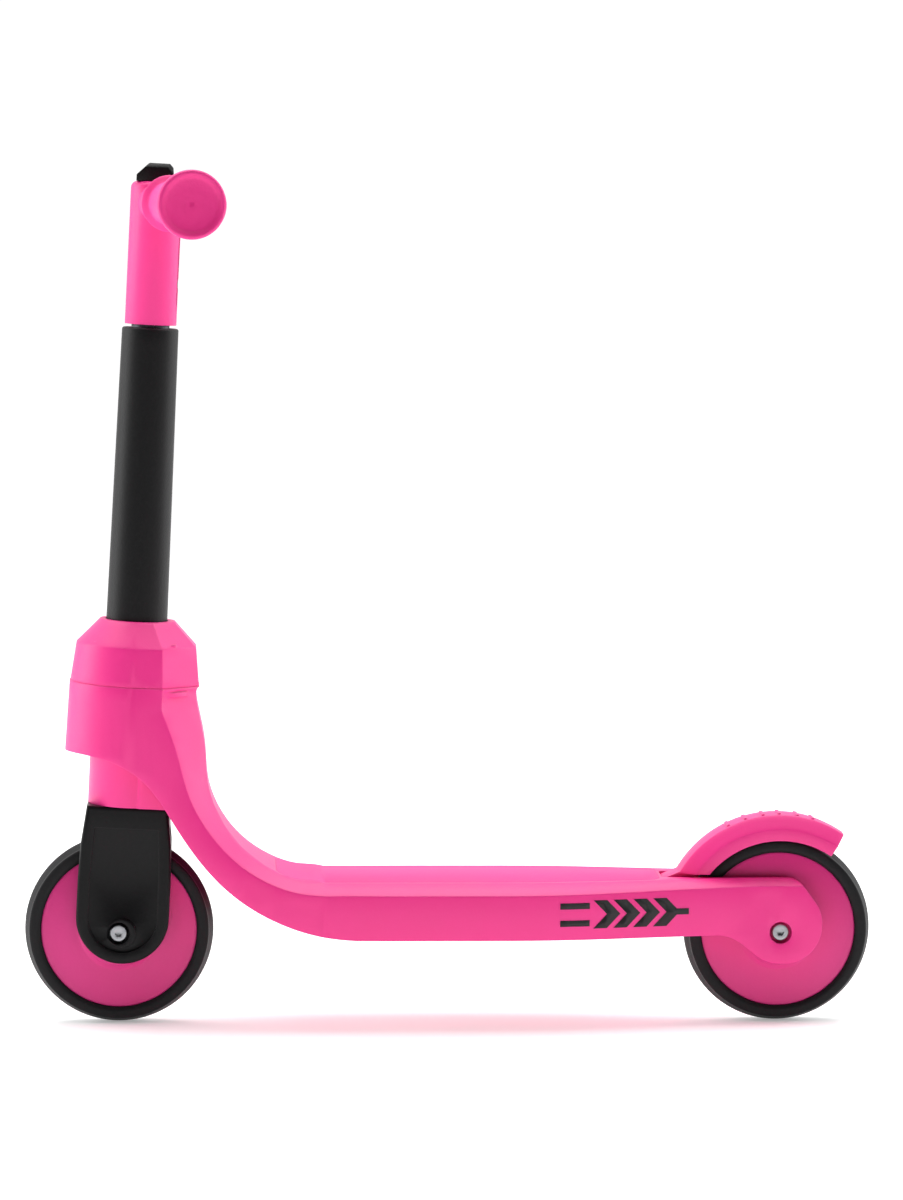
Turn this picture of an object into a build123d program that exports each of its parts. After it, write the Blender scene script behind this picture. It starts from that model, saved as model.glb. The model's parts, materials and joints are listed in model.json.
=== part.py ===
from build123d import *
from math import cos, radians, sin
import os

# Toddler's two-wheel kick scooter. Millimetres, +Z up, +X towards the rear wheel.
# The origin is on the ground, on the mid-plane, midway between the two wheels.

# Wheels
wheelbase = 492.0
tyre_radius = 70.0
core_radius = 57.7
wheel_width = 24.0
core_face_half = 9.5
hub_half = 12.5
hub_radius = 29.8
hub_step_radius = 26.8
rim_tongue = 2.2

# Ball bearings
bearing_outer = 11.0
bearing_width = 7.0
outer_race_inside = 9.5
inner_race_outside = 6.0
ball_radius = 1.95
ball_count = 7
ball_play = 0.05

# Axles
axle_radius = 4.0
axle_play = 0.1
spacer_radius = 6.5
bolt_head_radius = 6.25
bolt_head_height = 5.0
hex_key = 5.0
nut_across = 13.0
nut_height = 6.5
leg_gap_half = 14.6

# Steering head
head_tilt = 2.6
head_axis_behind_axle = 2.34
head_radius = 47.5
head_draft = 0.022
head_rear = 48.5
crease_back = 22.0
crease_half = 44.5
parting_height = 184.8
shoulder_height = 213.3
cap_top_height = 231.3
shoulder_radius = 43.7
cap_top_radius = 27.0
wall = 3.0

# Column and handlebar
column_bottom_radius = 22.6
column_top_radius = 20.8
column_top_height = 447.0
core_tube_radius = 14.0
core_tube_wall = 1.6
stem_wall = 5.0
stem_gap = 2.4
stem_height = 104.6
bar_radius = 14.6
bar_root_radius = 15.3
bar_taper = 32.0
bar_below_top = 15.5
bar_half_span = 150.0
bar_sweep = 28.0
grip_radius = 15.6
grip_flange_radius = 24.5
grip_length = 96.0
grip_collar_radius = 20.5
grip_dish = 3.0
grip_end_wall = 6.5
running_play = 0.05
seat_play = 0.3

# Steerer and fork
steerer_radius = 30.0
steerer_flange_radius = 35.0
journal_radius = 27.0
rib_front = 6.0
rib_back = 31.0
rib_half = 31.0
fork_top_height = 94.0
fork_crown_underside = 77.0
fork_top_half = 30.0
fork_side_half = 34.3
fork_bottom = -23.0
fork_half_width = 26.5

# Deck
deck_top = 110.0
deck_bottom = 69.0
deck_half = 58.0
panel_half = 43.0
border_drop = 7.5
bend_radius = 88.5
bend_behind_head = 150.16
panel_recess = 1.0
panel_dressing = 0.05

# Rear arms and brake
arm_half = 28.0
slot_ahead = 88.0
slot_corner = 2.5
pivot_ahead = 77.0
pivot_z = 97.0
fender_radius = 87.0
fender_crease_radius = 76.5
fender_edge_radius = 67.8
fender_half = 19.5
fender_wall = 2.8

# Sections of the bend and the fits inside the head
head_flat_half = 14.0
bend_top_half = 46.5
bend_top_flat = 20.0
bend_top_drop = 20.0
bend_depth = 56.0
deck_depth = 70.0
narrow_ahead = 201.0
arm_behind = 4.5
arm_flat_half = 20.0
arm_drop = 5.0
head_flare = 1.4
deck_lean = 3.2
web_bottom = 178.0
web_top = 181.6
boss_bottom = 144.7
boss_radius = 33.5
bush_radius = 30.5
bush_flange = 4.4
flange_bottom = 136.0
flange_top = 140.0
stop_bottom = 134.0
steerer_top = 200.0
ring_bottom = 182.0
ring_thickness = 2.0
ring_inner = 25.5
ring_outer = 30.5
cap_screw_circle = 36.9
cap_screw_radius = 1.5
cap_screw_head = 2.8
cap_boss_radius = 4.5
cap_boss_height = 34.5
upper_bush_bottom = 212.0
upper_bush_length = 16.0
upper_bush_outer = 27.0
core_bottom = 142.0
core_below_top = 20.0
lower_pin_height = 192.0
upper_screw_above = 30.6
cross_pin_radius = 2.5
screw_head_radius = 4.2
screw_head_depth = 3.2
crown_thread = 28.0
crown_recess = 7.0
peg_radius = 4.0
peg_height = 6.0
panel_depth = 3.0
front_recess = 6.0
rear_recess = 8.0
recess_radius = 8.3
spigot_radius = 11.0
cap_block_height = 13.5
cap_block_half = 12.0

# Foot panel, motif and underside
panel_ahead = 36.5
panel_short = 2.0
panel_corner = 14.0
rib_bottom = 77.0
motif_thickness = 0.35
motif_ahead = 128.0
motif_z = 88.0
motif_pitch = 15.0
motif_half = 10.5

# Brake details
pin_radius = 3.0
pin_half_length = 21.0
lug_outer = 11.5
lug_inner = 8.0
fender_crown_half = 12.0
fender_cut_height = 112.5
fender_back_angle = 55.9
fender_rib_angles = (116, 107, 98, 90, 81, 73)
pad_radius = 74.4
pad_half = 10.0
spring_play = 0.15
spring_wire = 0.6
fender_rib_rise = 0.4
spring_pitch = 1.6
spring_half = 4.0

axle_height = tyre_radius
rear_x = wheelbase / 2
front_x = -wheelbase / 2
head_axis_x = front_x + head_axis_behind_axle
bend_x = head_axis_x + bend_behind_head
narrow_start = rear_x - narrow_ahead
arm_start = rear_x + arm_behind
slot_front = rear_x - slot_ahead
pivot_x = rear_x - pivot_ahead
panel_front = bend_x - panel_ahead
panel_back = slot_front - panel_short
motif_x = rear_x - motif_ahead
stem_radius = core_tube_radius + stem_wall
stem_bottom_height = column_top_height + stem_gap
stem_top_height = stem_bottom_height + stem_height
bar_height = stem_top_height - bar_below_top
core_top = stem_top_height - core_below_top
upper_screw_height = stem_bottom_height + upper_screw_above
cap_block_top = stem_top_height + cap_block_height
spring_radius = pin_radius + spring_wire + spring_play
tilt_sin = sin(radians(head_tilt))
tilt_cos = cos(radians(head_tilt))
head_base = Vector(head_axis_x, 0, axle_height)
head_up = Vector(tilt_sin, 0, tilt_cos)
head_back = Vector(tilt_cos, 0, -tilt_sin)
head_axis = Axis(head_base, head_up)
# Looking from the left side with the head axis upright: local x runs back, local y up the axis
head_side = Plane(origin=head_base, x_dir=head_back, z_dir=(0, -1, 0))
# Looking from behind: local y up the axis
head_rear_view = Plane(origin=head_base, x_dir=(0, 1, 0), z_dir=head_back)
bend_z = deck_top + bend_radius
bar_run = (bar_half_span**2 + bar_sweep**2) ** 0.5


def head_level(height):
    """Plane across the head axis at a height above the axle; local x runs back."""
    return Plane(origin=head_base + head_up * height, x_dir=head_back, z_dir=head_up)


def save(piece, name):
    piece.part.label = name
    export_step(piece.part, f"parts/{name}.step")


def head_outline(height, radius):
    """Outline of the head housing: round front, a crease on each side, bevelled back."""
    grow = radius / head_radius
    back = crease_back * grow
    side = crease_half * grow
    rear = head_rear * grow
    flat = head_flat_half * grow
    with BuildSketch(head_level(height)) as face:
        with BuildLine():
            ThreePointArc((0, -radius), (-radius, 0), (0, radius))
            Polyline((0, radius), (back, side), (rear, flat), (rear, -flat), (back, -side), (0, -radius))
        make_face()
    return face.sketch


def head_front_face(height, inset):
    """Rounded front of the head housing, as far back as the side creases."""
    radius = head_radius + head_draft * (parting_height - height) - inset
    side = crease_half - inset
    with BuildSketch(head_level(height)) as face:
        with BuildLine():
            ThreePointArc((0, -radius), (-radius, 0), (0, radius))
            Polyline((0, radius), (crease_back, side), (crease_back, -side), (0, -radius))
        make_face()
    return face.sketch


def tray_face(plane, lower_half, edge_half, flat_half, drop, depth, inset):
    """Section of the hollow back: flat top, sloping borders, side walls. Local y points outwards."""
    low = -depth - 4 * inset
    edge = -drop - inset
    flat = flat_half - 0.5 * inset
    with BuildSketch(plane) as face:
        with BuildLine():
            Polyline(
                (-lower_half + inset, low),
                (-edge_half + inset, edge),
                (-flat, -inset),
                (flat, -inset),
                (edge_half - inset, edge),
                (lower_half - inset, low),
                close=True,
            )
        make_face()
    return face.sketch


def bend_plane(angle):
    """Plane across the bend, at an angle down from level."""
    out_x = -cos(radians(angle))
    out_z = -sin(radians(angle))
    crest = Vector(bend_x + bend_radius * out_x, 0, bend_z + bend_radius * out_z)
    return Plane(origin=crest, x_dir=(0, 1, 0), z_dir=(-out_z, 0, out_x))


def deck_plane(x):
    return Plane(origin=(x, 0, deck_top), x_dir=(0, 1, 0), z_dir=(1, 0, 0))


def bend_face(angle, inset):
    """Section at an angle round the bend; it widens and flattens smoothly towards the deck."""
    along = (angle + 2) / 92
    ease = along * along * (3 - 2 * along)
    edge_half = bend_top_half + (deck_half - bend_top_half) * ease
    flat_half = bend_top_flat + (panel_half - bend_top_flat) * ease
    drop = border_drop + (bend_top_drop - border_drop) * (1 - along) ** 3
    lower_half = edge_half + head_flare * (1 - ease) - deck_lean * ease
    return tray_face(bend_plane(angle), lower_half, edge_half, flat_half, drop, bend_depth, inset)


def back_faces(inset):
    """Sections from the back of the head, round the bend, to the start of the deck."""
    top = head_base + head_up * parting_height + head_back * head_rear
    head_plane = Plane(origin=top, x_dir=(0, 1, 0), z_dir=head_up * -1)
    drop = head_rear - crease_back
    middle = head_base + head_up * (parting_height - 27) + head_back * (head_rear + 2.6)
    middle_plane = Plane(origin=middle, x_dir=(0, 1, 0), z_dir=head_up * -1)
    faces = [
        tray_face(head_plane, head_radius, crease_half, head_flat_half, drop, head_rear, inset),
        tray_face(middle_plane, head_radius + 0.4, crease_half + 1, 17, drop - 2, head_rear + 4, inset),
    ]
    for step in range(7):
        faces.append(bend_face(-2 + step * 92 / 6, inset))
    return faces


def deck_face(x, inset):
    """Section of the deck at x; it narrows smoothly from the foot panel to the rear arms."""
    along = min(max((x - narrow_start) / (arm_start - narrow_start), 0), 1)
    ease = along * along * (3 - 2 * along)
    half = deck_half - (deck_half - arm_half) * ease
    flat = panel_half - (panel_half - arm_flat_half) * ease
    drop = border_drop - (border_drop - arm_drop) * ease
    lean = deck_lean * (1 - ease) * deck_depth / bend_depth
    return tray_face(deck_plane(x), half - lean, half, flat, drop, deck_depth, inset)


def deck_faces(inset, count):
    """Evenly spaced sections along the deck, as many as asked for."""
    step = (arm_start - bend_x) / 8
    return [deck_face(bend_x + index * step, inset) for index in range(count)]


def foot_outline():
    """Plan of the foot panel, a little narrower towards the rear, with rounded corners."""
    with BuildSketch(Plane.XY.offset(deck_top - 12)) as plan:
        with BuildLine():
            Polyline(
                (panel_front, -panel_half + 2.5),
                (narrow_start + 15, -panel_half + 2.5),
                (panel_back, -panel_half + 15),
                (panel_back, panel_half - 15),
                (narrow_start + 15, panel_half - 2.5),
                (panel_front, panel_half - 2.5),
                close=True,
            )
        make_face()
        ends = plan.vertices().group_by(Axis.X)[0] + plan.vertices().group_by(Axis.X)[-1]
        fillet(ends, radius=panel_corner)
    return plan.sketch


def axle_plane(x, side):
    """Plane through an axle centre, facing away from the mid-plane on one side."""
    return Plane(origin=(x, 0, axle_height), x_dir=(1, 0, 0), z_dir=(0, side, 0))


def wheel_axis(x):
    return Axis((x, 0, axle_height), (0, 1, 0))


def wheel_section(x):
    """Plane for revolved wheel sections: local x along the axle, local y outwards."""
    return Plane(origin=(x, 0, axle_height), x_dir=(0, 1, 0), z_dir=(-1, 0, 0))


os.makedirs("parts", exist_ok=True)

# Sections used by more than one piece
head_outer = [head_front_face(parting_height, 0), head_front_face(95, 0)]
head_inner = [head_front_face(parting_height + 1, wall), head_front_face(90, wall)]
back_outer = back_faces(0)
back_inner = back_faces(wall)
back_recess = back_faces(panel_recess)
deck_outer = deck_faces(0, 9)
deck_inner = deck_faces(wall, 6)
deck_recess = deck_faces(panel_recess, 9)
deck_raised = deck_faces(-motif_thickness, 9)
panel_plan = foot_outline()
arm_section = deck_face(arm_start, 0)

# Foot panel, a thin sheet let into the top of the deck and the foot of the bend
with BuildPart() as panel_blank:
    loft(back_outer)
    loft(deck_outer)
    extrude(to_extrude=panel_plan, amount=40, mode=Mode.INTERSECT)
with BuildPart() as panel_floor:
    loft(back_recess)
    loft(deck_recess)
with BuildPart() as panel_seat:
    add(panel_blank.part)
    add(panel_floor.part, mode=Mode.SUBTRACT)
with BuildPart() as tread_panel:
    add(panel_seat.part)
    with Locations((bend_x, 0, deck_top - panel_dressing)):
        Box(
            panel_back - bend_x + 20,
            2 * deck_half,
            10,
            align=(Align.MIN, Align.CENTER, Align.MIN),
            mode=Mode.SUBTRACT,
        )
save(tread_panel, "tread_panel")

# Stiffening ribs under the deck
with BuildPart() as deck_ribs:
    rib_pitch = (slot_front - 60 - (bend_x + 23.5)) / 4
    with Locations(*[(bend_x + 23.5 + step * rib_pitch, 0, rib_bottom) for step in range(5)]):
        Box(2.4, 2 * deck_half, 40, align=(Align.CENTER, Align.CENTER, Align.MIN))
    rib_centre = (bend_x + slot_front - 14.5) / 2
    with Locations((rib_centre, -22, rib_bottom), (rib_centre, 22, rib_bottom)):
        Box(slot_front - 14.5 - bend_x, 2.4, 40, align=(Align.CENTER, Align.CENTER, Align.MIN))
    loft(deck_faces(1.6, 6), mode=Mode.INTERSECT)

# Rear arms: the deck's section carried back and trimmed to the side outline
with BuildPart() as rear_arms:
    loft(deck_outer)
    extrude(to_extrude=arm_section, amount=40)
    with BuildSketch(Plane.XZ):
        with BuildLine():
            Line((rear_x - 48, deck_top), (arm_start, deck_top))
            Spline(
                (arm_start, deck_top),
                (rear_x + 21.5, 98.5),
                (rear_x + 31, 77),
                tangents=[(1, 0), (0, -1)],
            )
            Spline((rear_x + 31, 77), (rear_x + 22.5, 55), (rear_x + 1, 46.6), tangents=[(0, -1), (-1, 0)])
            Spline(
                (rear_x + 1, 46.6),
                (rear_x - 24, 57.5),
                (rear_x - 48, deck_bottom),
                tangents=[(-1, 0), (-1, 0.05)],
            )
            Line((rear_x - 48, deck_bottom), (rear_x - 48, deck_top))
        make_face()
    extrude(amount=70, both=True, mode=Mode.INTERSECT)

# Body moulding: head housing, bend, deck and rear arms
with BuildPart() as deck_body:
    loft(head_outer)
    loft(back_outer)
    loft(deck_outer)
    # The lower edge sweeps from the front skirt round the fork to the deck's underside
    with BuildSketch(Plane.XZ):
        with BuildLine():
            Line((head_axis_x - 76.3, 208), (head_axis_x - 41.7, 204.6))
            Spline(
                (head_axis_x - 41.7, 204.6),
                (head_axis_x - 18.3, 203),
                (head_axis_x + 0.7, 196.5),
                (head_axis_x + 15.7, 186),
                (head_axis_x + 37.7, 156),
                (head_axis_x + 54.7, 131),
                (head_axis_x + 78.7, 105.2),
                (head_axis_x + 108.7, 85.5),
                (head_axis_x + 140.7, 73.6),
                (bend_x + 23.5, deck_bottom),
            )
            Line((bend_x + 23.5, deck_bottom), (rear_x + 24, deck_bottom))
            Line((rear_x + 24, deck_bottom), (rear_x + 24, 20))
            Line((rear_x + 24, 20), (head_axis_x - 76.3, 20))
            Line((head_axis_x - 76.3, 20), (head_axis_x - 76.3, 208))
        make_face()
    extrude(amount=100, both=True, mode=Mode.SUBTRACT)
    # Hollow underside, as far as the solid tail
    loft(head_inner, mode=Mode.SUBTRACT)
    loft(back_inner, mode=Mode.SUBTRACT)
    loft(deck_inner, mode=Mode.SUBTRACT)
    add(deck_ribs.part)
    add(rear_arms.part)
    # Web and boss that carry the steering bushes, tied to the housing by ribs
    with BuildSketch(head_level(web_bottom)):
        Circle(head_radius - 1.8)
    extrude(amount=web_top - web_bottom)
    with BuildSketch(head_level(boss_bottom)):
        Circle(boss_radius)
    extrude(amount=web_bottom - boss_bottom)
    with BuildSketch(head_level(boss_bottom + 6)):
        with PolarLocations(39, 4):
            Rectangle(13, 3)
    extrude(amount=web_bottom - boss_bottom - 6)
    # Steering stops inside the skirt
    with BuildSketch(head_level(stop_bottom)):
        with PolarLocations(43, 2, start_angle=120, angular_range=240):
            Rectangle(6.5, 4)
    extrude(amount=web_bottom - stop_bottom)
    with BuildSketch(head_level(boss_bottom)):
        Circle(bush_radius)
    extrude(amount=60, mode=Mode.SUBTRACT)
    with BuildSketch(head_level(web_bottom)):
        with PolarLocations(cap_screw_circle, 4, start_angle=45):
            Circle(cap_screw_radius + 0.2)
    extrude(amount=20, mode=Mode.SUBTRACT)
    # Wheel slot between the arms, with a rounded front end
    with BuildSketch(Plane.XY):
        with Locations((slot_front + 100, 0)):
            RectangleRounded(200, 2 * leg_gap_half, slot_corner)
    extrude(amount=150, mode=Mode.SUBTRACT)
    # Axle holes with recesses for the bolt head and nut
    for side in (-1, 1):
        with BuildSketch(axle_plane(rear_x, side)):
            Circle(axle_radius + axle_play)
        extrude(amount=40, mode=Mode.SUBTRACT)
        with BuildSketch(axle_plane(rear_x, side).offset(arm_half - rear_recess)):
            Circle(recess_radius)
        extrude(amount=rear_recess + 5, mode=Mode.SUBTRACT)
    # Cross slot, open below, that takes the brake pin
    with BuildSketch(Plane.XZ):
        with Locations((pivot_x, pivot_z)):
            Circle(pin_radius)
        with Locations((pivot_x, pivot_z - 20)):
            Rectangle(2 * pin_radius, 40)
    extrude(amount=pin_half_length, both=True, mode=Mode.SUBTRACT)
    add(panel_seat.part, mode=Mode.SUBTRACT)
save(deck_body, "deck_body")

# Plain stripes and chevrons set into the near side of the deck
with BuildPart() as side_motif:
    loft(deck_raised)
    with BuildSketch(Plane.XZ):
        with Locations(*[(motif_x + step * motif_pitch, motif_z) for step in range(4)]):
            Polygon(
                (-14, -motif_half),
                (-4, -motif_half),
                (6, 0),
                (-4, motif_half),
                (-14, motif_half),
                (-4, 0),
                align=None,
            )
        with Locations((motif_x - 28, motif_z + 6.5), (motif_x - 28, motif_z - 6.5)):
            Rectangle(22, 4.5)
        with Locations((motif_x + 4 * motif_pitch - 8, motif_z)):
            Rectangle(12, 4.5)
    extrude(amount=80, mode=Mode.INTERSECT)
with BuildPart() as deck_solid:
    loft(deck_outer)
    with Locations((0, 40, deck_top)):
        Box(800, 120, 200)
with BuildPart() as side_motif_cut:
    add(side_motif.part)
    add(deck_solid.part, mode=Mode.SUBTRACT)
save(side_motif_cut, "side_motif")

# Bevelled cap over the head
with BuildPart() as head_cap:
    loft([head_outline(parting_height, head_radius - 0.5), head_outline(shoulder_height, shoulder_radius)])
    loft(
        [head_outline(shoulder_height, shoulder_radius), head_outline(cap_top_height, cap_top_radius)],
    )
    loft(
        [
            head_outline(parting_height - 1, head_radius - wall),
            head_outline(shoulder_height - 1.5, shoulder_radius - wall),
        ],
        mode=Mode.SUBTRACT,
    )
    loft(
        [
            head_outline(shoulder_height - 1.5, shoulder_radius - wall),
            head_outline(cap_top_height - wall, cap_top_radius - 1),
        ],
        mode=Mode.SUBTRACT,
    )
    with BuildSketch(head_level(upper_bush_bottom - 2)):
        Circle(upper_bush_outer + wall)
    extrude(amount=upper_bush_length + 1)
    with BuildSketch(head_level(web_top)):
        with PolarLocations(cap_screw_circle, 4, start_angle=45):
            Circle(cap_boss_radius)
    extrude(amount=cap_boss_height)
    with BuildSketch(head_level(web_top)):
        with PolarLocations(cap_screw_circle, 4, start_angle=45):
            Circle(cap_screw_radius)
    extrude(amount=16, mode=Mode.SUBTRACT)
    with BuildSketch(head_level(upper_bush_bottom - 2)):
        Circle(upper_bush_outer)
    extrude(amount=upper_bush_length + 2, mode=Mode.SUBTRACT)
    with BuildSketch(head_level(parting_height)):
        Circle(column_bottom_radius + 0.6)
    extrude(amount=60, mode=Mode.SUBTRACT)
save(head_cap, "head_cap")

# Four screws from below hold the cap to the web
with BuildPart() as head_screws:
    with BuildSketch(head_level(web_bottom - 2.6)):
        with PolarLocations(cap_screw_circle, 4, start_angle=45):
            Circle(cap_screw_head)
    extrude(amount=2.6)
    with BuildSketch(head_level(web_bottom)):
        with PolarLocations(cap_screw_circle, 4, start_angle=45):
            Circle(cap_screw_radius)
    extrude(amount=web_top - web_bottom + 14)
save(head_screws, "head_screws")

# Lower bush with a thrust flange
with BuildPart() as lower_bush:
    with BuildSketch(head_level(boss_bottom)):
        Circle(bush_radius)
    extrude(amount=web_top - boss_bottom)
    with BuildSketch(head_level(boss_bottom - bush_flange)):
        Circle(steerer_flange_radius)
    extrude(amount=bush_flange)
    with BuildSketch(head_level(boss_bottom - bush_flange)):
        Circle(journal_radius + running_play)
    extrude(amount=80, mode=Mode.SUBTRACT)
save(lower_bush, "lower_bush")

# Upper bush around the column, inside the cap
with BuildPart() as upper_bush:
    with BuildSketch(head_level(upper_bush_bottom)):
        Circle(upper_bush_outer)
        Circle(column_bottom_radius + running_play, mode=Mode.SUBTRACT)
    extrude(amount=upper_bush_length)
save(upper_bush, "upper_bush")

# Steerer: round front, squared rib behind, thrust flange with a stop lug, journal above
with BuildPart() as steerer:
    with BuildSketch(head_level(fork_top_height)):
        Circle(steerer_radius)
        with Locations(((rib_front + rib_back) / 2, 0)):
            RectangleRounded(rib_back - rib_front, 2 * rib_half, 4)
    extrude(amount=flange_bottom - fork_top_height)
    with BuildSketch(head_level(flange_bottom)):
        Circle(steerer_flange_radius)
        with Locations((-steerer_flange_radius, 0)):
            Rectangle(15, 11)
    extrude(amount=flange_top - flange_bottom)
    with BuildSketch(head_level(flange_top)):
        Circle(journal_radius)
    extrude(amount=steerer_top - flange_top)
    with BuildSketch(head_level(ring_bottom)):
        Circle(journal_radius + 1)
        Circle(ring_inner, mode=Mode.SUBTRACT)
    extrude(amount=ring_thickness, mode=Mode.SUBTRACT)
    with BuildSketch(head_level(core_bottom)):
        Circle(core_tube_radius)
    extrude(amount=100, mode=Mode.SUBTRACT)
    with BuildSketch(head_level(fork_top_height)):
        Circle(axle_radius)
    extrude(amount=crown_thread, mode=Mode.SUBTRACT)
    with BuildSketch(head_level(fork_top_height)):
        with Locations((-17, 14), (-17, -14)):
            Circle(peg_radius)
    extrude(amount=peg_height + 1, mode=Mode.SUBTRACT)
    with BuildSketch(head_side):
        with Locations((0, lower_pin_height)):
            Circle(cross_pin_radius)
    extrude(amount=40, both=True, mode=Mode.SUBTRACT)
save(steerer, "steerer")

# Ring in the journal groove that keeps the steerer up in the head
with BuildPart() as retaining_ring:
    with BuildSketch(head_level(ring_bottom)):
        Circle(ring_outer)
        Circle(ring_inner, mode=Mode.SUBTRACT)
    extrude(amount=ring_thickness)
save(retaining_ring, "retaining_ring")

# Fork: two legs from a crown block, recessed panel and bolt boss on each outer face
with BuildPart() as fork:
    with BuildSketch(head_side):
        with BuildLine():
            Line((-fork_top_half, fork_top_height), (-33.3, 66))
            Line((-33.3, 66), (-fork_side_half, 40))
            Line((-fork_side_half, 40), (-fork_side_half, 11))
            ThreePointArc((-fork_side_half, 11), (0, fork_bottom), (fork_side_half, 11))
            Line((fork_side_half, 11), (fork_side_half, 40))
            Line((fork_side_half, 40), (33.3, 66))
            Line((33.3, 66), (fork_top_half, fork_top_height))
            Line((fork_top_half, fork_top_height), (-fork_top_half, fork_top_height))
        make_face()
    extrude(amount=fork_half_width, both=True)
    outer_faces = fork.faces().filter_by(Axis.Y)
    fillet(outer_faces.edges(), radius=2.5)
    for side in (-1, 1):
        panel_plane = Plane(
            origin=head_base + Vector(0, side * (fork_half_width - panel_depth), 0),
            x_dir=head_back,
            z_dir=(0, side, 0),
        )
        with BuildSketch(panel_plane):
            with BuildLine():
                low = fork_bottom + 8.5
                Line((-23.5, -side * 78), (-25.5, -side * 40))
                Line((-25.5, -side * 40), (-25.5, -side * 9))
                ThreePointArc((-25.5, -side * 9), (0, -side * low), (25.5, -side * 9))
                Line((25.5, -side * 9), (25.5, -side * 40))
                Line((25.5, -side * 40), (23.5, -side * 78))
                Line((23.5, -side * 78), (-23.5, -side * 78))
            make_face()
            with Locations((0, 0)):
                Circle(10.5, mode=Mode.SUBTRACT)
        extrude(amount=panel_depth + 2, mode=Mode.SUBTRACT)
    # Wheel gap
    with BuildSketch(head_side):
        with Locations((0, fork_crown_underside - 75)):
            Rectangle(120, 150)
    extrude(amount=leg_gap_half, both=True, mode=Mode.SUBTRACT)
    # Locating pegs and the crown bolt's hole
    with BuildSketch(head_level(fork_top_height)):
        with Locations((-17, 14), (-17, -14)):
            Circle(peg_radius - 0.1)
    extrude(amount=peg_height)
    with BuildSketch(head_level(fork_crown_underside - 5)):
        Circle(axle_radius + axle_play)
    extrude(amount=40, mode=Mode.SUBTRACT)
    with BuildSketch(head_level(fork_crown_underside - 5)):
        Circle(recess_radius)
    extrude(amount=crown_recess + 5, mode=Mode.SUBTRACT)
    for side in (-1, 1):
        with BuildSketch(axle_plane(front_x, side)):
            Circle(axle_radius + axle_play)
        extrude(amount=40, mode=Mode.SUBTRACT)
        with BuildSketch(axle_plane(front_x, side).offset(fork_half_width - front_recess)):
            Circle(recess_radius)
        extrude(amount=front_recess + 5, mode=Mode.SUBTRACT)
save(fork, "fork")

# Bolt up through the fork crown into the steerer
with BuildPart() as crown_bolt:
    with BuildSketch(head_level(fork_crown_underside + crown_recess - bolt_head_height)):
        Circle(bolt_head_radius)
    extrude(amount=bolt_head_height)
    with BuildSketch(head_level(fork_crown_underside + crown_recess - bolt_head_height)):
        RegularPolygon(hex_key / 2, 6, major_radius=False)
    extrude(amount=3, mode=Mode.SUBTRACT)
    with BuildSketch(head_level(fork_crown_underside + crown_recess)):
        Circle(axle_radius)
    extrude(amount=fork_top_height - fork_crown_underside - crown_recess + crown_thread - 1)
save(crown_bolt, "crown_bolt")

# Steel tube inside the column
with BuildPart() as column_core:
    with BuildSketch(head_level(core_bottom)):
        Circle(core_tube_radius)
        Circle(core_tube_radius - core_tube_wall, mode=Mode.SUBTRACT)
    extrude(amount=core_top - core_bottom)
    with BuildSketch(head_side):
        with Locations((0, lower_pin_height)):
            Circle(cross_pin_radius)
    extrude(amount=40, both=True, mode=Mode.SUBTRACT)
    with BuildSketch(head_rear_view):
        with Locations((0, upper_screw_height)):
            Circle(cross_pin_radius)
    extrude(amount=40, mode=Mode.SUBTRACT)
save(column_core, "column_core")

# Tapered column sleeve, bearing on the steel tube at both ends
with BuildPart() as column_tube:
    with BuildSketch(head_side):
        with BuildLine():
            Polyline(
                (core_tube_radius, steerer_top),
                (column_bottom_radius, steerer_top),
                (column_bottom_radius, cap_top_height),
                (column_top_radius, column_top_height - 1),
                (column_top_radius - 1, column_top_height),
                (core_tube_radius, column_top_height),
                (core_tube_radius, column_top_height - 25),
                (column_top_radius - 2.5, column_top_height - 29),
                (column_top_radius - 2.5, steerer_top + 45),
                (core_tube_radius, steerer_top + 41),
                close=True,
            )
        make_face()
    revolve(axis=head_axis)
save(column_tube, "column_tube")

# Pin across the steerer and tube, inside the head cap
with BuildPart() as lower_cross_pin:
    with BuildSketch(head_side):
        with Locations((0, lower_pin_height)):
            Circle(cross_pin_radius)
    extrude(amount=journal_radius - 1, both=True)
save(lower_cross_pin, "lower_cross_pin")

bar_base = head_base + head_up * bar_height
grip_start = bar_run - grip_length


def bar_direction(side):
    return (head_back * bar_sweep + Vector(0, side * bar_half_span, 0)).normalized()



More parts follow.
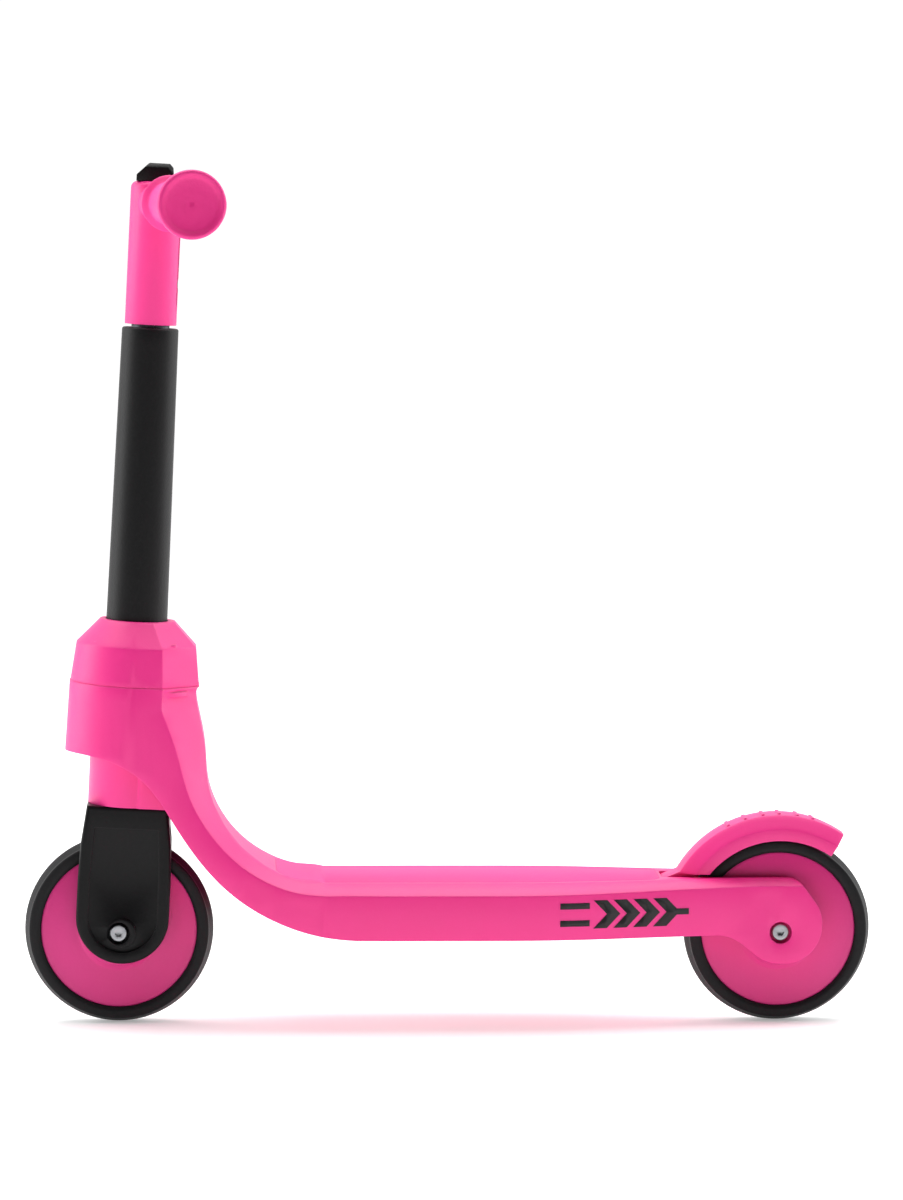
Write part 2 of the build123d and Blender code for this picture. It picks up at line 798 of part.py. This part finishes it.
# T-bar: stem and two swept-back bars with spigots for the grips
with BuildPart() as handlebar:
    with BuildSketch(head_level(stem_bottom_height)):
        Circle(stem_radius)
    extrude(amount=stem_top_height - stem_bottom_height)
    fillet(handlebar.edges().group_by(Axis.Z)[-1], radius=5)
    for side in (-1, 1):
        bar_plane = Plane(origin=bar_base, z_dir=bar_direction(side))
        with BuildSketch(bar_plane) as bar_root:
            Circle(bar_root_radius)
        with BuildSketch(bar_plane.offset(bar_taper)) as bar_middle:
            Circle(bar_radius)
        with BuildSketch(bar_plane.offset(grip_start - seat_play)) as bar_tip:
            Circle(bar_radius - 0.6)
        loft([bar_root.sketch, bar_middle.sketch, bar_tip.sketch])
        with BuildSketch(bar_plane.offset(grip_start - 1)) as bar_spigot:
            Circle(spigot_radius)
        extrude(to_extrude=bar_spigot.sketch, amount=grip_length + 1 - grip_end_wall - seat_play)
    with BuildSketch(head_level(stem_bottom_height)) as stem_bore:
        Circle(core_tube_radius)
    extrude(to_extrude=stem_bore.sketch, amount=core_top - stem_bottom_height, mode=Mode.SUBTRACT)
    with BuildSketch(head_rear_view) as screw_bore:
        with Locations((0, upper_screw_height)):
            Circle(cross_pin_radius)
    extrude(to_extrude=screw_bore.sketch, amount=40, mode=Mode.SUBTRACT)
    with BuildSketch(head_rear_view.offset(stem_radius - screw_head_depth)) as head_seat:
        with Locations((0, upper_screw_height)):
            Circle(screw_head_radius)
    extrude(to_extrude=head_seat.sketch, amount=20, mode=Mode.SUBTRACT)
save(handlebar, "handlebar")

# Screw into the back of the T-bar stem and through the tube, its head sunk below the surface
with BuildPart() as upper_cross_screw:
    with BuildSketch(head_rear_view.offset(core_tube_radius - core_tube_wall - 3)):
        with Locations((0, upper_screw_height)):
            Circle(cross_pin_radius)
    extrude(amount=stem_radius - screw_head_depth - core_tube_radius + core_tube_wall + 3)
    with BuildSketch(head_rear_view.offset(stem_radius - screw_head_depth)):
        with Locations((0, upper_screw_height)):
            Circle(screw_head_radius)
            RegularPolygon(1.5, 6, major_radius=False, mode=Mode.SUBTRACT)
    extrude(amount=screw_head_depth - 0.7)
save(upper_cross_screw, "upper_cross_screw")

# Bevelled block on top of the T-bar
with BuildPart() as stem_cap:
    with BuildSketch(head_side):
        with BuildLine():
            Polyline(
                (-15, stem_top_height),
                (-15, stem_top_height + 4.6),
                (-6, cap_block_top),
                (9, cap_block_top),
                (11.5, cap_block_top - 2.8),
                (12.5, stem_top_height),
                close=True,
            )
        make_face()
    extrude(amount=cap_block_half, both=True)
    long_edges = stem_cap.faces().filter_by(Axis.Y).edges()
    chamfer(long_edges.sort_by(Axis.Z)[-4:], length=3)
save(stem_cap, "stem_cap")

# Grips: tapered sleeve with a small inner collar and a broad round end
for name, side in (("left_grip", -1), ("right_grip", 1)):
    direction = bar_direction(side)
    # Local x across the bar, local y outwards along it
    profile_plane = Plane(origin=bar_base, x_dir=head_up, z_dir=head_up.cross(direction))
    with BuildPart() as grip:
        with BuildSketch(profile_plane):
            with BuildLine():
                Polyline(
                    (0, bar_run - grip_dish),
                    (0, bar_run - grip_end_wall),
                    (spigot_radius, bar_run - grip_end_wall),
                    (spigot_radius, grip_start),
                    (grip_collar_radius - 0.5, grip_start),
                    (grip_collar_radius, grip_start + 2.5),
                    (grip_radius + 0.4, grip_start + 6),
                    (grip_radius, grip_start + 50),
                    (grip_radius + 0.6, bar_run - 12),
                    (grip_flange_radius - 1.4, bar_run - 6.6),
                    (grip_flange_radius, bar_run - 4.6),
                    (grip_flange_radius, bar_run - 2.2),
                    (grip_flange_radius - 0.7, bar_run - 0.7),
                    (grip_flange_radius - 2.2, bar_run),
                    (grip_flange_radius - 4, bar_run - 0.6),
                    (grip_flange_radius - 6, bar_run - 2),
                    (grip_flange_radius - 11, bar_run - grip_dish + 0.4),
                    close=True,
                )
            make_face()
        revolve(axis=Axis(bar_base, direction))
    save(grip, name)

# Both wheels are the same; each turns on its own bolt between two legs
for end, x, leg_half, recess in (
    ("front", front_x, fork_half_width, front_recess),
    ("rear", rear_x, arm_half, rear_recess),
):
    section = wheel_section(x)
    axis = wheel_axis(x)
    with BuildPart() as core:
        with BuildSketch(section):
            with BuildLine():
                Polyline(
                    (-hub_half, bearing_outer),
                    (-hub_half, hub_step_radius - 1),
                    (-hub_half + 1, hub_step_radius),
                    (-hub_half + 1.4, hub_step_radius),
                    (-core_face_half - 0.4, hub_radius),
                    (-core_face_half, hub_radius + 0.6),
                    (-core_face_half, core_radius),
                    (-3, core_radius),
                    (-3, core_radius + rim_tongue),
                    (3, core_radius + rim_tongue),
                    (3, core_radius),
                    (core_face_half, core_radius),
                    (core_face_half, hub_radius + 0.6),
                    (core_face_half + 0.4, hub_radius),
                    (hub_half - 1.4, hub_step_radius),
                    (hub_half - 1, hub_step_radius),
                    (hub_half, hub_step_radius - 1),
                    (hub_half, bearing_outer),
                    (hub_half - bearing_width, bearing_outer),
                    (hub_half - bearing_width, outer_race_inside),
                    (-hub_half + bearing_width, outer_race_inside),
                    (-hub_half + bearing_width, bearing_outer),
                    close=True,
                )
            make_face()
        revolve(axis=axis)
    save(core, f"{end}_wheel_core")
    with BuildPart() as tyre:
        with BuildSketch(section):
            with BuildLine():
                half = wheel_width / 2
                Polyline(
                    (-half + 1.5, core_radius),
                    (-3, core_radius),
                    (-3, core_radius + rim_tongue),
                    (3, core_radius + rim_tongue),
                    (3, core_radius),
                    (half - 1.5, core_radius),
                    (half, core_radius + 2.5),
                )
                Spline(
                    (half, core_radius + 2.5),
                    (half - 3.2, tyre_radius - 3.4),
                    (0, tyre_radius),
                    (-half + 3.2, tyre_radius - 3.4),
                    (-half, core_radius + 2.5),
                    tangents=[(0, 1), (0, -1)],
                )
                Line((-half, core_radius + 2.5), (-half + 1.5, core_radius))
            make_face()
        revolve(axis=axis)
    save(tyre, f"{end}_tyre")

    seat_centre = hub_half - bearing_width / 2
    ball_circle = (outer_race_inside + inner_race_outside) / 2
    with BuildPart() as outer_rings:
        for side in (-1, 1):
            with BuildSketch(section):
                with Locations((side * seat_centre, (bearing_outer + outer_race_inside) / 2)):
                    Rectangle(bearing_width, bearing_outer - outer_race_inside)
                with Locations((side * seat_centre, ball_circle)):
                    Circle(ball_radius + ball_play, mode=Mode.SUBTRACT)
            revolve(axis=axis)
    save(outer_rings, f"{end}_bearing_outer")
    with BuildPart() as inner_rings:
        for side in (-1, 1):
            with BuildSketch(section):
                with Locations((side * seat_centre, (inner_race_outside + axle_radius) / 2)):
                    Rectangle(bearing_width, inner_race_outside - axle_radius)
                with Locations((side * seat_centre, ball_circle)):
                    Circle(ball_radius + ball_play, mode=Mode.SUBTRACT)
            revolve(axis=axis)
    save(inner_rings, f"{end}_bearing_inner")
    with BuildPart() as balls:
        for side in (-1, 1):
            with Locations(axle_plane(x, side).offset(seat_centre)):
                with PolarLocations(ball_circle, ball_count):
                    Sphere(ball_radius)
    save(balls, f"{end}_bearing_balls")
    with BuildPart() as hub_spacer:
        with BuildSketch(Plane(origin=(x, 0, axle_height), x_dir=(1, 0, 0), z_dir=(0, -1, 0))):
            Circle(spacer_radius)
            Circle(axle_radius, mode=Mode.SUBTRACT)
        extrude(amount=hub_half - bearing_width, both=True)
    save(hub_spacer, f"{end}_hub_spacer")
    with BuildPart() as axle_spacers:
        for side in (-1, 1):
            with BuildSketch(axle_plane(x, side).offset(hub_half)):
                Circle(spacer_radius)
                Circle(axle_radius, mode=Mode.SUBTRACT)
            extrude(amount=leg_gap_half - hub_half)
    save(axle_spacers, f"{end}_axle_spacers")
    with BuildPart() as axle_bolt:
        with BuildSketch(axle_plane(x, -1).offset(leg_half - recess)):
            Circle(bolt_head_radius)
        extrude(amount=bolt_head_height)
        chamfer(axle_bolt.faces().sort_by(Axis.Y)[0].edges(), length=0.6)
        with BuildSketch(axle_plane(x, -1).offset(leg_half - recess + bolt_head_height - 3)):
            RegularPolygon(hex_key / 2, 6, major_radius=False)
        extrude(amount=4, mode=Mode.SUBTRACT)
        with BuildSketch(axle_plane(x, 1).offset(recess - leg_half)):
            Circle(axle_radius)
        extrude(amount=2 * (leg_half - recess) + nut_height)
    save(axle_bolt, f"{end}_axle_bolt")
    with BuildPart() as axle_nut:
        with BuildSketch(axle_plane(x, 1).offset(leg_half - recess)):
            RegularPolygon(nut_across / 2, 6, major_radius=False)
            Circle(axle_radius, mode=Mode.SUBTRACT)
        extrude(amount=nut_height)
    save(axle_nut, f"{end}_axle_nut")

# Rear fender: one shell section run round the wheel, with two lugs on the brake pin
inner_half = fender_half - fender_wall
with BuildPart() as rear_fender:
    with BuildSketch(wheel_section(rear_x)):
        Polygon(
            (-fender_half, fender_edge_radius),
            (-fender_half, fender_crease_radius),
            (-fender_crown_half, fender_radius - 0.8),
            (0, fender_radius),
            (fender_crown_half, fender_radius - 0.8),
            (fender_half, fender_crease_radius),
            (fender_half, fender_edge_radius),
            (inner_half, fender_edge_radius),
            (inner_half, fender_crease_radius - 0.8),
            (fender_crown_half - 1, fender_radius - fender_wall - 0.8),
            (-fender_crown_half + 1, fender_radius - fender_wall - 0.8),
            (-inner_half, fender_crease_radius - 0.8),
            (-inner_half, fender_edge_radius),
            align=None,
        )
    revolve(axis=wheel_axis(rear_x))
    # Keep the arc over the wheel, cut level just above the deck in front
    back_cos = cos(radians(fender_back_angle))
    back_sin = sin(radians(fender_back_angle))
    with BuildSketch(Plane.XZ):
        with BuildLine():
            Polyline(
                (rear_x - 150, fender_cut_height),
                (rear_x, fender_cut_height),
                (rear_x, axle_height),
                (rear_x + 150 * back_cos, axle_height + 150 * back_sin),
                (rear_x, 260),
                (rear_x - 150, 260),
                close=True,
            )
        make_face()
    extrude(amount=60, both=True, mode=Mode.INTERSECT)
    for angle in fender_rib_angles:
        rib_spot = Plane(
            origin=(rear_x, 0, axle_height),
            x_dir=(0, 1, 0),
            z_dir=(cos(radians(angle)), 0, sin(radians(angle))),
        ).offset(fender_radius - fender_wall / 2)
        with BuildSketch(rib_spot):
            RectangleRounded(2 * fender_crown_half - 5, 2.6, 1.2)
        extrude(amount=fender_wall / 2 + fender_rib_rise)
    with BuildSketch(Plane.XZ):
        with BuildLine():
            Polyline(
                (pivot_x - 5.2, pivot_z),
                (pivot_x - 5.2, pivot_z + 5),
                (slot_front + seat_play, pivot_z + 6),
                (slot_front + seat_play, pivot_z + 11),
                (pivot_x + 2.5, fender_cut_height + 1),
                (pivot_x + 14, fender_cut_height + 9),
                (pivot_x + 18, fender_cut_height + 4),
                (pivot_x + 5.2, pivot_z + 4),
                (pivot_x + 5.2, pivot_z),
                close=True,
            )
        make_face()
        with Locations((pivot_x, pivot_z)):
            Circle(5.2)
    extrude(amount=lug_outer, both=True)
    with BuildSketch(Plane.XZ):
        with Locations((pivot_x, pivot_z)):
            Circle(pin_radius + running_play)
    extrude(amount=lug_outer + 1, both=True, mode=Mode.SUBTRACT)
    with BuildSketch(Plane.XZ):
        with Locations((pivot_x, pivot_z)):
            Circle(spring_radius + 2)
        with Locations((pivot_x + 5, pivot_z + 4)):
            Rectangle(18, 6, rotation=35)
    extrude(amount=lug_inner, both=True, mode=Mode.SUBTRACT)
save(rear_fender, "rear_fender")

# Brake pad under the crown of the fender
with BuildPart() as brake_pad:
    with BuildSketch(wheel_section(rear_x)):
        Polygon(
            (-pad_half, pad_radius),
            (pad_half, pad_radius),
            (pad_half, fender_radius - fender_wall - 0.8),
            (-pad_half, fender_radius - fender_wall - 0.8),
            align=None,
        )
    revolve(axis=wheel_axis(rear_x))
    with BuildSketch(Plane.XZ):
        with Locations((rear_x - 3, axle_height + 80)):
            Rectangle(34, 40)
    extrude(amount=40, both=True, mode=Mode.INTERSECT)
save(brake_pad, "brake_pad")

# Pin the fender tips on, and the two keepers that close its slots from below
with BuildPart() as brake_pivot_pin:
    with BuildSketch(Plane.XZ):
        with Locations((pivot_x, pivot_z)):
            Circle(pin_radius)
    extrude(amount=pin_half_length, both=True)
save(brake_pivot_pin, "brake_pivot_pin")

with BuildPart() as pin_keepers:
    for side in (-1, 1):
        with BuildSketch(Plane.XY.offset(deck_bottom + 4)):
            with Locations((pivot_x, side * (leg_gap_half + pin_half_length) / 2)):
                Rectangle(2 * pin_radius, pin_half_length - leg_gap_half)
        extrude(amount=pivot_z - deck_bottom - 4)
    with BuildSketch(Plane.XZ):
        with Locations((pivot_x, pivot_z)):
            Circle(pin_radius)
    extrude(amount=40, both=True, mode=Mode.SUBTRACT)
save(pin_keepers, "pin_keepers")

# Torsion spring coiled on the pin between the lugs
with BuildPart() as brake_spring:
    with BuildLine() as coil:
        Helix(
            pitch=spring_pitch,
            height=2 * spring_half,
            radius=spring_radius,
            center=(pivot_x, -spring_half, pivot_z),
            direction=(0, 1, 0),
        )
    with BuildSketch(coil.line ^ 0):
        Circle(spring_wire)
    sweep(path=coil.line, is_frenet=True)
save(brake_spring, "brake_spring")
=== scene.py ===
import bpy
import json
import math
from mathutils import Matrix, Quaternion, Vector

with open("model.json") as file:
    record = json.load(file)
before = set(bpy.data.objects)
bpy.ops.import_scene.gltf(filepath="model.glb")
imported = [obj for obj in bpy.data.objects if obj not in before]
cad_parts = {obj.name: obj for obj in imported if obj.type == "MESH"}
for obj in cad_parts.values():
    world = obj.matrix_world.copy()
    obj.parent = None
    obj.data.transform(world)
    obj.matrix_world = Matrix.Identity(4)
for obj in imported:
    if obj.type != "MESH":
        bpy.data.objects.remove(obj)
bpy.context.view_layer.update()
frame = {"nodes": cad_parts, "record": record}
nodes = frame["nodes"]
record = frame["record"]

# ---------- colours, linear ----------
PINK = (0.90, 0.028, 0.27)
PINK_LIGHT = (0.93, 0.09, 0.38)
PINK_DARK = (0.85, 0.024, 0.24)
# Wheel pink: partly the wheels' own darker colour, partly painted shade from the fork legs and rear
# arms
WHEEL_PINK_PLUS_SHADE = (0.74, 0.024, 0.235)
WHEEL_PINK_PLUS_SHADE_DARK = (0.69, 0.021, 0.205)
BLACK = (0.006, 0.006, 0.0065)
BLACK_LIGHT = (0.028, 0.028, 0.030)
BLACK_DARK = (0.004, 0.004, 0.0045)
INK = (0.012, 0.012, 0.013)
INK_DARK = (0.008, 0.008, 0.009)
TYRE = (0.008, 0.008, 0.009)
TYRE_DARK = (0.005, 0.005, 0.006)
PAD = (0.02, 0.02, 0.02)
PAD_DARK = (0.012, 0.012, 0.012)
NYLON = (0.72, 0.71, 0.66)
NYLON_LIGHT = (0.85, 0.85, 0.82)
NYLON_DARK = (0.62, 0.61, 0.56)
STEEL = (0.40, 0.41, 0.43)
STEEL_DARK = (0.20, 0.205, 0.215)
TUBE = (0.10, 0.10, 0.11)
TUBE_DARK = (0.05, 0.05, 0.055)

# ---------- surfaces: lengths in metres, noise scales per metre ----------
CLOUD_SCALE = 9.0
CLOUD_RANGE = (0.3, 0.72)  # noise values that give the dark and the main colour
FLECK_SCALE = 420.0
FLECK_RANGE = (0.45, 0.75)
# Painted edge highlight: moulded edges are mixed towards the paler colour
EDGE_HIGHLIGHT_RADIUS = 0.0016
EDGE_HIGHLIGHT_RANGE = (0.995, 0.88)  # cosine between rounded and true normal, no painted highlight to full painted highlight
EDGE_HIGHLIGHT_SHARE = 0.35
PLASTIC_GLOSS = (-0.05, 0.07)  # roughness either side of the one given
PLASTIC_BUMP = 0.35
STEEL_CLOUD_SCALE = 160.0
STEEL_GLOSS = (-0.06, 0.12)
STEEL_GRAIN_SCALE = 1800.0
STEEL_GRAIN_DEPTH = 0.0001
STEEL_BUMP = 0.15

CREASE_ANGLE = math.radians(32)
WELD_DISTANCE = 0.000002
EDGE_WIDTH = 0.0005
# Moulded edges that are wider or narrower than that
edge_width = {
    "fork": 0.0014,
    "deck_body": 0.0003,
    "head_cap": 0.0003,
    "rear_fender": 0.0008,
    "handlebar": 0.0009,
    "left_grip": 0.0008,
    "right_grip": 0.0008,
}
UNBEVELLED = ("front_bearing_balls", "rear_bearing_balls", "brake_spring", "side_motif")


# ---------- material helpers ----------
def new_node(tree, kind, x, y, **values):
    node = tree.nodes.new(kind)
    node.location = (x, y)
    for key, value in values.items():
        setattr(node, key, value)
    return node


def new_material(name):
    mat = bpy.data.materials.new(name)
    mat.use_nodes = True
    return mat, mat.node_tree, mat.node_tree.nodes["Principled BSDF"]


def noise(tree, place, x, y, scale, detail=2.0):
    node = new_node(tree, "ShaderNodeTexNoise", x, y)
    node.inputs["Scale"].default_value = scale
    node.inputs["Detail"].default_value = detail
    tree.links.new(place.outputs["Object"], node.inputs["Vector"])
    return node.outputs["Fac"]


def map_range(tree, value, x, y, source, target):
    node = new_node(tree, "ShaderNodeMapRange", x, y)
    node.inputs["From Min"].default_value = source[0]
    node.inputs["From Max"].default_value = source[1]
    node.inputs["To Min"].default_value = target[0]
    node.inputs["To Max"].default_value = target[1]
    tree.links.new(value, node.inputs["Value"])
    return node.outputs["Result"]


def mix_to(tree, colour, factor, base, x, y):
    node = new_node(tree, "ShaderNodeMix", x, y, data_type="RGBA")
    node.inputs["B"].default_value = (*colour, 1)
    tree.links.new(factor, node.inputs["Factor"])
    tree.links.new(base, node.inputs["A"])
    return node.outputs["Result"]


def colour_ramp(tree, value, x, y, dark, main):
    node = new_node(tree, "ShaderNodeValToRGB", x, y)
    node.color_ramp.elements[0].color = (*dark, 1)
    node.color_ramp.elements[1].color = (*main, 1)
    tree.links.new(value, node.inputs["Fac"])
    return node


def bump(tree, height, x, y, strength, depth):
    node = new_node(tree, "ShaderNodeBump", x, y)
    node.inputs["Strength"].default_value = strength
    node.inputs["Distance"].default_value = depth
    tree.links.new(height, node.inputs["Height"])
    return node


def plastic(name, main, light, dark, rough, grain_scale, grain_depth, speckle=0.04, ior=1.47):
    """Moulded plastic: cloudy colour, pale flecks, a painted highlight along the edges, uneven gloss,
    fine grain.
    """
    mat, tree, bsdf = new_material(name)
    link = tree.links.new
    place = new_node(tree, "ShaderNodeTexCoord", -1500, 0)
    cloud = noise(tree, place, -1250, 250, CLOUD_SCALE, 4.0)
    tone = colour_ramp(tree, cloud, -1000, 250, dark, main)
    tone.color_ramp.elements[0].position = CLOUD_RANGE[0]
    tone.color_ramp.elements[1].position = CLOUD_RANGE[1]
    fleck = noise(tree, place, -1250, -50, FLECK_SCALE)
    fleck_share = map_range(tree, fleck, -1000, -50, FLECK_RANGE, (0.0, speckle))
    flecked = mix_to(tree, light, fleck_share, tone.outputs["Color"], -750, 200)
    # Painted edge highlight: paler colour where the rounded normal leaves the true one
    round_edge = new_node(tree, "ShaderNodeBevel", -1250, -350)
    round_edge.samples = 4
    round_edge.inputs["Radius"].default_value = EDGE_HIGHLIGHT_RADIUS
    geo = new_node(tree, "ShaderNodeNewGeometry", -1250, -550)
    facing = new_node(tree, "ShaderNodeVectorMath", -1000, -400, operation="DOT_PRODUCT")
    link(round_edge.outputs["Normal"], facing.inputs[0])
    link(geo.outputs["Normal"], facing.inputs[1])
    edge_highlight_share = map_range(tree, facing.outputs["Value"], -800, -400, EDGE_HIGHLIGHT_RANGE, (0.0, EDGE_HIGHLIGHT_SHARE))
    link(mix_to(tree, light, edge_highlight_share, flecked, -500, 150), bsdf.inputs["Base Color"])
    gloss = (rough + PLASTIC_GLOSS[0], rough + PLASTIC_GLOSS[1])
    link(map_range(tree, cloud, -500, -150, (0.0, 1.0), gloss), bsdf.inputs["Roughness"])
    grain = noise(tree, place, -750, -650, grain_scale, 3.0)
    relief = bump(tree, grain, -400, -500, PLASTIC_BUMP, grain_depth)
    link(round_edge.outputs["Normal"], relief.inputs["Normal"])
    link(relief.outputs["Normal"], bsdf.inputs["Normal"])
    bsdf.inputs["IOR"].default_value = ior
    return mat


def steel(name, main, dark, rough):
    """Plated steel with a fine grain and cloudy dulling."""
    mat, tree, bsdf = new_material(name)
    link = tree.links.new
    place = new_node(tree, "ShaderNodeTexCoord", -1200, 0)
    cloud = noise(tree, place, -950, 150, STEEL_CLOUD_SCALE, 5.0)
    tone = colour_ramp(tree, cloud, -700, 150, dark, main)
    link(tone.outputs["Color"], bsdf.inputs["Base Color"])
    gloss = (rough + STEEL_GLOSS[0], rough + STEEL_GLOSS[1])
    link(map_range(tree, cloud, -700, -100, (0.0, 1.0), gloss), bsdf.inputs["Roughness"])
    grain = noise(tree, place, -700, -350, STEEL_GRAIN_SCALE)
    relief = bump(tree, grain, -350, -300, STEEL_BUMP, STEEL_GRAIN_DEPTH)
    link(relief.outputs["Normal"], bsdf.inputs["Normal"])
    bsdf.inputs["Metallic"].default_value = 1.0
    return mat


def pink(name, rough, grain_scale, grain_depth):
    return plastic(name, PINK, PINK_LIGHT, PINK_DARK, rough, grain_scale, grain_depth)


materials = {
    "pink_plastic": pink("pink_plastic", 0.42, 900.0, 0.00025),
    "pink_tread": pink("pink_tread", 0.55, 700.0, 0.0006),
    # Wheel cores: darker pink, partly their own colour and partly painted shade
    "wheel_pink": plastic("wheel_pink", WHEEL_PINK_PLUS_SHADE, PINK_LIGHT, WHEEL_PINK_PLUS_SHADE_DARK, 0.38, 900.0, 0.0002),
    "pink_grip": pink("pink_grip", 0.5, 600.0, 0.0005),
    "black_plastic": plastic(
        "black_plastic", BLACK, BLACK_LIGHT, BLACK_DARK, 0.42, 800.0, 0.0004, speckle=0.08, ior=1.28
    ),
    "black_ink": plastic("black_ink", INK, BLACK_LIGHT, INK_DARK, 0.5, 500.0, 0.0002),
    "tyre": plastic("tyre", TYRE, BLACK_LIGHT, TYRE_DARK, 0.5, 600.0, 0.0004, speckle=0.1, ior=1.3),
    "pad_rubber": plastic("pad_rubber", PAD, BLACK_LIGHT, PAD_DARK, 0.7, 500.0, 0.0005),
    "nylon": plastic("nylon", NYLON, NYLON_LIGHT, NYLON_DARK, 0.45, 500.0, 0.0002),
    "steel": steel("steel", STEEL, STEEL_DARK, 0.30),
    "steel_tube": steel("steel_tube", TUBE, TUBE_DARK, 0.38),
}

# The fork has sharper but weaker reflections than the other black mouldings
fork_black = plastic(
    "fork_black", BLACK, BLACK_LIGHT, BLACK_DARK, 0.3, 700.0, 0.0003, speckle=0.05, ior=1.24
)

slot_of = {part["node"]: part["material_slot"] for part in record["subparts"]}
for name, obj in nodes.items():
    obj.data.materials.clear()
    obj.data.materials.append(fork_black if name == "fork" else materials[slot_of[name]])
    obj.data.polygons.foreach_set("use_smooth", [True] * len(obj.data.polygons))
    obj.data.set_sharp_from_angle(angle=CREASE_ANGLE)
    weld = obj.modifiers.new("weld", "WELD")
    weld.merge_threshold = WELD_DISTANCE
    if name not in UNBEVELLED:
        soften = obj.modifiers.new("soften", "BEVEL")
        soften.width = edge_width.get(name, EDGE_WIDTH)
        soften.segments = 2
        soften.limit_method = "ANGLE"
        soften.angle_limit = CREASE_ANGLE
        soften.harden_normals = False

# ---------- floor, light, camera ----------
FLOOR_REACH = 9
corners = [(x * FLOOR_REACH, y * FLOOR_REACH, 0) for x, y in ((-1, -1), (1, -1), (1, 1), (-1, 1))]
floor_mesh = bpy.data.meshes.new("floor")
floor_mesh.from_pydata(corners, [], [(0, 1, 2, 3)])
floor = bpy.data.objects.new("floor", floor_mesh)
bpy.context.scene.collection.objects.link(floor)
floor_mat, _, floor_bsdf = new_material("floor")
floor_bsdf.inputs["Base Color"].default_value = (0.95, 0.95, 0.95, 1)
floor_bsdf.inputs["Roughness"].default_value = 0.9
# The floor gives off a little light of its own, so that it reads as white
floor_bsdf.inputs["Emission Color"].default_value = (1, 1, 1, 1)
floor_bsdf.inputs["Emission Strength"].default_value = 0.32
floor.data.materials.append(floor_mat)


def area_light(name, where, at, size, power):
    data = bpy.data.lights.new(name, "AREA")
    data.shape = "RECTANGLE"
    data.size = size[0]
    data.size_y = size[1]
    data.energy = power
    lamp = bpy.data.objects.new(name, data)
    lamp.location = where
    lamp.rotation_euler = (Vector(at) - Vector(where)).to_track_quat("-Z", "Y").to_euler()
    bpy.context.scene.collection.objects.link(lamp)


area_light("top", (0.0, 0.5, 2.4), (0, 0, 0.1), (3.2, 2.0), 62)
area_light("left", (-2.6, 0.35, 1.0), (0, 0, 0.3), (1.8, 2.0), 34)
area_light("right", (2.6, 0.8, 1.0), (0, 0, 0.3), (1.8, 2.0), 24)

# Dim from the camera's side (-Y), bright from behind; height plays no part
WORLD_FADE = (-0.75, 0.2)
WORLD_STRENGTH = (0.06, 1.05)
world = bpy.data.worlds.new("world")
bpy.context.scene.world = world
world.use_nodes = True
world_tree = world.node_tree
background = world_tree.nodes["Background"]
direction = new_node(world_tree, "ShaderNodeTexCoord", -800, 0)
split = new_node(world_tree, "ShaderNodeSeparateXYZ", -600, 0)
world_tree.links.new(direction.outputs["Generated"], split.inputs["Vector"])
strength = map_range(world_tree, split.outputs["Y"], -400, 0, WORLD_FADE, WORLD_STRENGTH)
world_tree.links.new(strength, background.inputs["Strength"])
background.inputs["Color"].default_value = (1, 1, 1, 1)

scene = bpy.context.scene
scene.view_settings.view_transform = "Standard"

CAMERA_PLACE = (-0.165, -3.15, 0.604)
CAMERA_AIM = (0.0, 0.0, 0.3158)
CAMERA_LENS = 127.9
CAMERA_ROLL = math.radians(0.42)
camera_data = bpy.data.cameras.new("camera")
camera = bpy.data.objects.new("camera", camera_data)
scene.collection.objects.link(camera)
scene.camera = camera
camera_data.lens = CAMERA_LENS
camera_data.sensor_width = 36.0
camera.location = CAMERA_PLACE
aim = (Vector(CAMERA_AIM) - camera.location).to_track_quat("-Z", "Y")
level = Quaternion((0.0, 0.0, 1.0), CAMERA_ROLL)
camera.rotation_euler = (aim @ level).to_euler()
